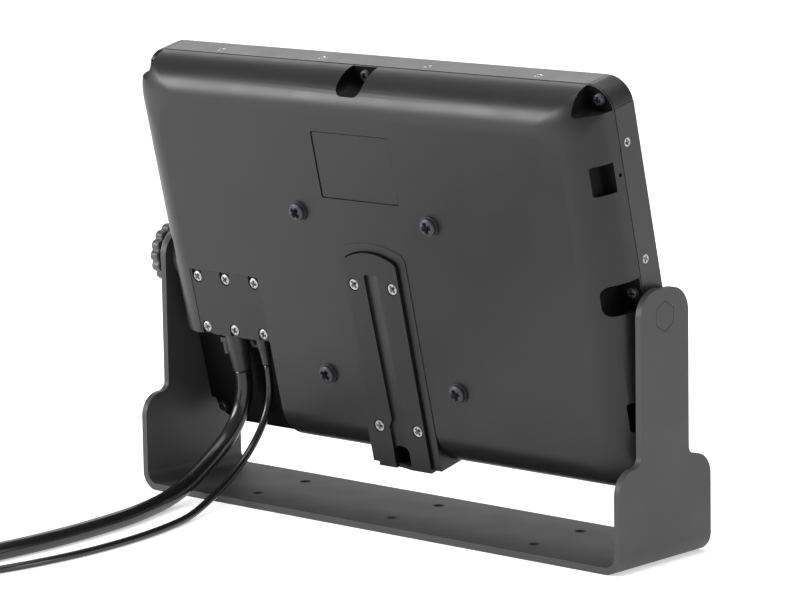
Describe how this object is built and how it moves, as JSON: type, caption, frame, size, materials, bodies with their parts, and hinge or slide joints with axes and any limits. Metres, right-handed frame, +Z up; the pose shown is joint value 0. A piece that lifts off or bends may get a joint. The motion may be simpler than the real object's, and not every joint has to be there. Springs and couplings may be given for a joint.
{
  "type": "chartplotter display",
  "caption": "Slim rectangular display in a rounded housing, held in a U-shaped bracket by a hexagonal pivot and a fluted hand knob, with two cords at its back.",
  "frame": {"origin": "middle of the bracket's underside, on the surface that it is screwed to", "axes": "+Z up, +X along the bracket's width towards the knob, -Y the way the screen looks"},
  "size_m": [0.3211, 0.3009, 0.2019],
  "materials": {
    "bracket_paint": "satin powder coat",
    "cover_shell": "fine satin texture",
    "rail_metal": "satin",
    "rear_fittings": "fine texture",
    "clear_glass": "polished",
    "dark_rubber": "matte",
    "screen": "gloss",
    "tray_steel": "brushed",
    "chassis_metal": "cast",
    "board_laminate": "solder mask",
    "black_screw": "black oxide",
    "steel_screw": "turned",
    "insert_brass": "turned",
    "knob_plastic": "satin",
    "washer_nylon": "satin",
    "cord_jacket": "gloss",
    "plug_mould": "satin"
  },
  "bodies": {
    "bracket": {"u_bracket": "bracket_paint", "hexagon_pivot": "bracket_paint", "video_cable": "cord_jacket", "video_cable_coil": "cord_jacket", "video_cable_plug": "plug_mould", "power_cable": "cord_jacket", "power_cable_coil": "cord_jacket", "power_cable_plug": "plug_mould"},
    "display": {"top_rail": "rail_metal", "bottom_rail": "rail_metal", "left_rail": "rail_metal", "right_rail": "rail_metal", "corner_cap_top_left": "rail_metal", "corner_cap_top_right": "rail_metal", "corner_cap_bottom_left": "rail_metal", "corner_cap_bottom_right": "rail_metal", "rail_screws": "steel_screw", "cover_glass": "clear_glass", "glass_gasket": "dark_rubber", "lcd_panel": "screen", "panel_tray": "tray_steel", "front_chassis": "chassis_metal", "main_board": "board_laminate", "main_board_screws": "steel_screw", "power_board": "board_laminate", "power_board_screws": "steel_screw", "rear_cover": "cover_shell", "cover_gasket": "dark_rubber", "cover_screws": "black_screw", "cover_screw_orings": "dark_rubber", "connector_cover": "cover_shell", "connector_cover_screws": "steel_screw", "video_socket": "tray_steel", "power_socket": "rear_fittings", "spare_bracket": "rear_fittings", "spare_nut": "black_screw", "video_plug": "plug_mould", "power_plug": "plug_mould", "stand_rail": "rear_fittings", "stand_rail_screws": "steel_screw", "vesa_screws": "black_screw", "vesa_washers": "black_screw", "vesa_inserts": "insert_brass", "pivot_insert_left": "insert_brass", "pivot_bush_right": "insert_brass", "friction_washer_left": "dark_rubber", "friction_washer_right": "dark_rubber"},
    "knob_washer": {"knob_washer": "washer_nylon"},
    "knob": {"knob_grip": "knob_plastic", "knob_stud": "steel_screw"},
    "thumbscrew": {"video_plug_thumbscrew": "black_screw"}
  },
  "joints": [
    {"name": "tilt", "type": "hinge", "parent": "bracket", "child": "display", "pos_m": [0, 0, 0.103], "axis": [-1, 0, 0], "range_deg": [-33, 47], "deforming": ["video_cable", "power_cable"]},
    {"name": "knob_travel", "type": "slide", "parent": "display", "child": "knob_washer", "axis": [1, 0, 0], "range_m": [0, 0.002]},
    {"name": "knob_turn", "type": "hinge", "parent": "knob_washer", "child": "knob", "pos_m": [0.14, 0, 0.103], "axis": [1, 0, 0], "range_deg": [0, 720.5]},
    {"name": "thumbscrew_turn", "type": "hinge", "parent": "display", "child": "thumbscrew", "pos_m": [0.1068, 0.00464, 0.06088], "axis": [0, -0.225, -0.9744], "range_deg": [0, 1080]}
  ],
  "couplings": [
    {"joint": "knob_turn", "follows": "knob_travel", "rad_per_m": 6283.2}
  ]
}
